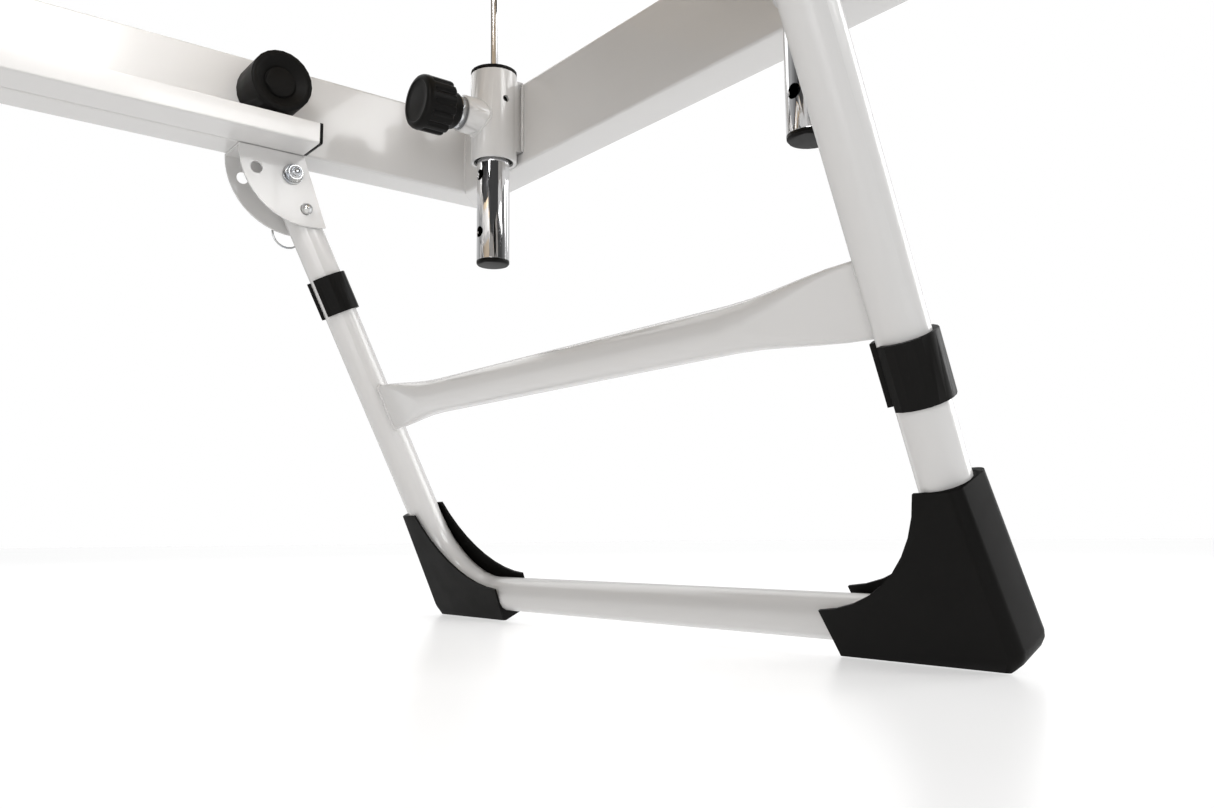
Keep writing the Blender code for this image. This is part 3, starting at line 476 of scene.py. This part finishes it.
def knob_skin(middle):
    """A turned profile about the X axis, fluted where it is wider than the hub."""
    turn = np.linspace(0, 2 * np.pi, 192, endpoint=False)
    reach, radius = KNOB_PROFILE[:, 0], KNOB_PROFILE[:, 1]
    phase = np.abs(((turn * LOBES / (2 * np.pi)) % 1) - 0.5) * 2
    hump = np.exp(-((phase / GROOVE_SHARE) ** 4))
    grip = np.clip((radius - HUB_EDGE) / GRIP_DEEP, 0, 1) * (reach < GRIP_TO) * (reach > GRIP_FROM)
    size = radius[:, None] - GROOVE * grip[:, None] * hump[None, :]
    x = middle[0] - np.repeat(reach[:, None], len(turn), 1)
    return np.stack((x, middle[1] + size * np.cos(turn), middle[2] + size * np.sin(turn)), -1)


for side in ("left", "right"):
    low, high = (np.array(corner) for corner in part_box(f"post_tube_{side}"))
    lock = np.array(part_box(f"lock_barrel_{side}")).mean(0)
    skin = knob_skin(((low[0] + high[0]) / 2, lock[1], lock[2]))
    knob = piece(f"lobed_knob_{side}", skin, f"knob_{side}", "black_plastic")
    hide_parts(f"lock_knob_{side}")
print("knobs:", LOBES, "lobes")


# %% [markdown]
# ## Bolts
# Each leg swings on a bolt with a lock nut on a washer. A turned profile can't show the six flats, so
# the nut and the head are rows whose radius is a hexagon cut back by a chamfer, and the rest is round.
# %% Bolts
HEX = 7.5 * MM
SHANK = 4.0
# reach from the tip in mm, largest radius in mm, and 1 where the row is a hexagon
TIP_ROWS = (
    (0.0, 0.4, 0), (0.2, 2.4, 0), (0.8, 3.6, 0), (1.5, SHANK, 0), (1.9, SHANK, 0),
    (1.9, 4.9, 0), (2.3, 5.6, 0), (3.4, 5.9, 0), (3.4, 6.6, 1), (4.3, 7.5, 1),
    (9.9, 7.5, 1), (9.9, 9.1, 0), (10.2, 9.5, 0), (11.5, 9.5, 0), (11.5, SHANK, 0),
)
# reach back from the end of the head
HEAD_ROWS = ((5.5, SHANK, 0), (5.5, 7.5, 1), (0.9, 7.5, 1), (0.0, 6.6, 1), (0.0, 0.4, 0))


def bolt_skin(low, high, inward):
    """A bolt along Y between two corners of a box, its nut's end at the side that faces inward."""
    turn = np.linspace(0, 2 * np.pi, 96, endpoint=False)
    flats = HEX * math.cos(math.pi / 6) / np.cos(np.mod(turn, math.pi / 3) - math.pi / 6)
    tip, end = (high[1], low[1]) if inward > 0 else (low[1], high[1])
    rows = [(tip - inward * reach * MM, radius, six) for reach, radius, six in TIP_ROWS]
    rows += [(end + inward * reach * MM, radius, six) for reach, radius, six in HEAD_ROWS]
    middle = (low + high) / 2
    skin = []
    for y, radius, six in rows:
        size = np.minimum(flats, radius * MM) if six else np.full(len(turn), radius * MM)
        x, z = middle[0] + size * np.cos(turn), middle[2] + size * np.sin(turn)
        skin.append(np.stack((x, np.full(len(turn), y), z), -1))
    return np.array(skin)


for name in (node for node in NODES if node.startswith("pivot_bolt_")):
    low, high = (np.array(corner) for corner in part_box(name))
    skin = bolt_skin(low, high, -np.sign(low[1] + high[1]))
    bolt = piece(f"hex_{name}", skin, BODY_OF[name], SLOT_OF[name])
    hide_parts(name)


# %% [markdown]
# ## Cushions
# A cushion is foam under a tight cover. The cover pulls the edges round and the foam crowns the top,
# which a block can't show, so it is blown up a little as cloth: a smaller block is remeshed evenly,
# its underside is held on the board, pressure pushes the rest outwards, and the move is capped.
# %% Stuffed pads
def rounded_block(low, high, corner, roll):
    """A box whose upright edges have a large radius and whose rims have a small one."""
    shape = bmesh.new()
    size, middle = high - low, (high + low) / 2
    bmesh.ops.create_cube(shape, size=1, matrix=Matrix.Translation(middle) @ Matrix.Diagonal((*size, 1)))
    upright = [e for e in shape.edges if abs(e.verts[0].co.z - e.verts[1].co.z) > 1e-6]
    bmesh.ops.bevel(shape, geom=upright, offset=corner, segments=8, affect="EDGES", profile=0.5)
    rims = [e for e in shape.edges if e.calc_face_angle(0) > math.radians(60)]
    bmesh.ops.bevel(shape, geom=rims, offset=roll, segments=4, affect="EDGES", profile=0.5)
    mesh = bpy.data.meshes.new("block")
    shape.to_mesh(mesh)
    shape.free()
    return mesh


def applied(obj):
    """The evaluated mesh of an object, in place of its live modifiers."""
    bpy.context.view_layer.update()
    mesh = bpy.data.meshes.new_from_object(obj.evaluated_get(bpy.context.evaluated_depsgraph_get()))
    obj.modifiers.clear()
    obj.data = mesh
    return mesh


def points_of(mesh):
    flat = np.empty(len(mesh.vertices) * 3, np.float32)
    mesh.vertices.foreach_get("co", flat)
    return flat.reshape(-1, 3)


def blown_up(obj, base, cap, frames=16):
    """Lets pressure act as on a held cloth, then keeps at most cap metres of each point's move."""
    start = points_of(obj.data)
    held = obj.vertex_groups.new(name="held")
    held.add(np.flatnonzero(start[:, 2] < base + 4 * MM).tolist(), 1.0, "REPLACE")
    cloth = obj.modifiers.new("cloth", "CLOTH")
    cloth.settings.quality = 4
    cloth.settings.use_pressure = True
    cloth.settings.uniform_pressure_force = 4
    cloth.settings.vertex_group_mass = "held"
    cloth.settings.effector_weights.gravity = 0
    scene = bpy.context.scene
    for step in range(1, frames + 1):
        scene.frame_set(step)
    mesh = bpy.data.meshes.new_from_object(obj.evaluated_get(bpy.context.evaluated_depsgraph_get()))
    move = points_of(mesh) - start
    size = np.linalg.norm(move, axis=1, keepdims=True)
    obj.modifiers.clear()
    obj.vertex_groups.clear()
    final = start + move * np.minimum(1, cap / np.maximum(size, 1e-9))
    obj.data.vertices.foreach_set("co", final.ravel())
    scene.frame_set(1)
    return float(size.max())


def cushion(name, node, body, voxel, swell):
    """Builds the pad of a CAD cushion and returns the pad."""
    low, high = (np.array(corner, np.float32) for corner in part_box(node))
    inset = np.array((swell * 0.6, swell * 0.6, 0), np.float32)
    small_low, small_high = low + inset, high - inset - np.array((0, 0, swell), np.float32)
    pad = bpy.data.objects.new(name, rounded_block(Vector(small_low), Vector(small_high), 45 * MM, 12 * MM))
    bpy.context.scene.collection.objects.link(pad)
    remesh = pad.modifiers.new("even", "REMESH")
    remesh.mode, remesh.voxel_size = "VOXEL", voxel
    applied(pad)
    print(name, "moved up to", round(blown_up(pad, low[2], swell) / MM, 1), "mm before the cap")
    points = points_of(pad.data)
    points[:, 2] = np.maximum(points[:, 2], low[2])
    pad.data.vertices.foreach_set("co", points.ravel())
    pad.data.materials.clear()
    pad.data.materials.append(FINISHES["vinyl"])
    finish = pad.modifiers.new("smooth", "SUBSURF")
    finish.levels = finish.render_levels = 1
    pad.data.shade_smooth()
    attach(pad, body)
    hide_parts(node)
    return pad


# %% [markdown]
# ## Piping
# The top panel is sewn to the side panel over a cord. The piping is a thin round bead on the pad's
# real surface: a rounded rectangle at the seam's height, with each point moved to the nearest place
# on the pad.
# %% Piping
def piping(name, pad, node, body, share, radius):
    """A bead round a pad at a share of its height, found by the nearest point of the pad's surface."""
    low, high = (np.array(corner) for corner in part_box(node))
    half, middle = (high - low) / 2, (high + low) / 2
    turn = np.linspace(0, 2 * np.pi, 721)[:-1]
    power = 0.16
    x = half[0] * np.sign(np.cos(turn)) * np.abs(np.cos(turn)) ** power
    y = half[1] * np.sign(np.sin(turn)) * np.abs(np.sin(turn)) ** power
    level = np.full(len(turn), low[2] + share * (high[2] - low[2]))
    ring = resampled(np.stack((x + middle[0], y + middle[1], level), -1), 900, True)
    surface = BVHTree.FromObject(pad, bpy.context.evaluated_depsgraph_get())
    hits = np.array([surface.find_nearest(point)[0] for point in ring])
    for _ in range(6):
        hits = (np.roll(hits, 1, 0) + hits * 2 + np.roll(hits, -1, 0)) / 4
    return bead(name, hits, (0, 0, 1), radius, body, loop=True, slot="vinyl", rippled=False)


for name, node, body, voxel, swell in (
    ("table_pad", "top_cushion", "frame", 11 * MM, 9 * MM),
    ("headrest_pad", "headrest_cushion", "headrest", 7 * MM, 8 * MM),
):
    pad = cushion(name, node, body, voxel, swell)
    bpy.context.view_layer.update()
    piping(f"{name}_piping", pad, node, body, 0.74, 1.8 * MM)

# %% [markdown]
# ## Camera
# The camera stands low, inside the width of the legs, and looks up past the post at the far corner.
# %% Camera
EYE = (0.3634, -0.6099, 0.0734)
RIGHT = (0.78393, -0.62079, -0.00837)
UP = (-0.07288, -0.10541, 0.99175)
AHEAD = (0.61655, 0.77686, 0.12788)
lens = bpy.data.cameras.new("camera")
lens.lens, lens.sensor_width, lens.sensor_fit = 30.64, 36.0, "HORIZONTAL"
lens.clip_start, lens.clip_end = 0.01, 100
camera = bpy.data.objects.new("camera", lens)
axes = Matrix((RIGHT, UP, tuple(-part for part in AHEAD))).transposed()
camera.matrix_world = Matrix.Translation(EYE) @ axes.to_4x4()
bpy.context.scene.collection.objects.link(camera)
bpy.context.scene.camera = camera

# %% [markdown]
# ## Studio
# A product studio: a white glossy floor that runs into a white background, a large soft light over
# the far side, a key from the near side, a broad fill low on the camera's left, a small light between
# the rails and a wide one beyond the head end. The floor glows a little, so that it meets the
# background without a line, and the world is white to the camera but dim behind it, which gives
# the chrome its dark bands.
# %% Floor
def floor_finish():
    sheet = Finish("studio_floor", roughness=0.26, emission_color=(1.0, 1.0, 1.0), emission_strength=0.52)
    sheet.feed("Base Color", sheet.blend(sheet.noise(0.8, 2), (0.56, 0.56, 0.56), (0.59, 0.59, 0.59)))
    return sheet.material


FLOOR_HALF = 14.0
FLOOR_DROP = 0.5 * MM
ground = bpy.data.meshes.new("floor")
rim = [(x * FLOOR_HALF, y * FLOOR_HALF, 0) for x, y in ((-1, -1), (1, -1), (1, 1), (-1, 1))]
ground.from_pydata(rim, [], [(0, 1, 2, 3)])
ground.materials.append(floor_finish())
floor = bpy.data.objects.new("floor", ground)
floor.location.z = -FLOOR_DROP
bpy.context.scene.collection.objects.link(floor)


# %% Lights
def soft_light(name, at, towards, size, power):
    """An area light that faces a point."""
    light = bpy.data.lights.new(name, "AREA")
    light.shape, light.size, light.size_y, light.energy = "RECTANGLE", size[0], size[1], power
    lamp = bpy.data.objects.new(name, light)
    lamp.location = at
    lamp.rotation_euler = (Vector(towards) - Vector(at)).to_track_quat("-Z", "Y").to_euler()
    lamp.visible_camera = False
    bpy.context.scene.collection.objects.link(lamp)


soft_light("over_far_side", (1.2, 2.2, 2.4), (0.7, 0.0, 0.3), (2.6, 1.8), 16)
soft_light("key", (1.5, -1.8, 1.45), (0.65, 0.25, 0.45), (0.9, 0.9), 17)
soft_light("fill", (-1.3, -1.7, 0.5), (0.6, 0.28, 0.4), (1.4, 0.8), 22)
soft_light("rail_wash", (0.53, 0.06, 0.60), (0.50, 0.28, 0.47), (0.12, 0.10), 0.60)
soft_light("far_end", (3.0, -0.9, 0.9), (0.8, 0.0, 0.2), (1.2, 1.6), 28)
bpy.context.scene.view_settings.view_transform = "Standard"
world = bpy.data.worlds.new("studio")
world.use_nodes = True
sky = world.node_tree
facing = sky.nodes.new("ShaderNodeVectorMath")
facing.operation = "DOT_PRODUCT"
facing.inputs[1].default_value = (0.62, 0.70, 0.35)
glow = sky.nodes.new("ShaderNodeMapRange")
glow.inputs["From Min"].default_value, glow.inputs["From Max"].default_value = -0.2, 0.9
glow.inputs["To Min"].default_value, glow.inputs["To Max"].default_value = 0.06, 0.75
seen = sky.nodes.new("ShaderNodeLightPath")
level = sky.nodes.new("ShaderNodeMath")
level.operation = "MAXIMUM"
sky.links.new(sky.nodes.new("ShaderNodeTexCoord").outputs["Generated"], facing.inputs[0])
sky.links.new(facing.outputs["Value"], glow.inputs["Value"])
sky.links.new(seen.outputs["Is Camera Ray"], level.inputs[0])
sky.links.new(glow.outputs["Result"], level.inputs[1])
sky.links.new(level.outputs["Value"], sky.nodes["Background"].inputs["Strength"])
sky.nodes["Background"].inputs["Color"].default_value = (1.0, 1.0, 1.0, 1)
bpy.context.scene.world = world
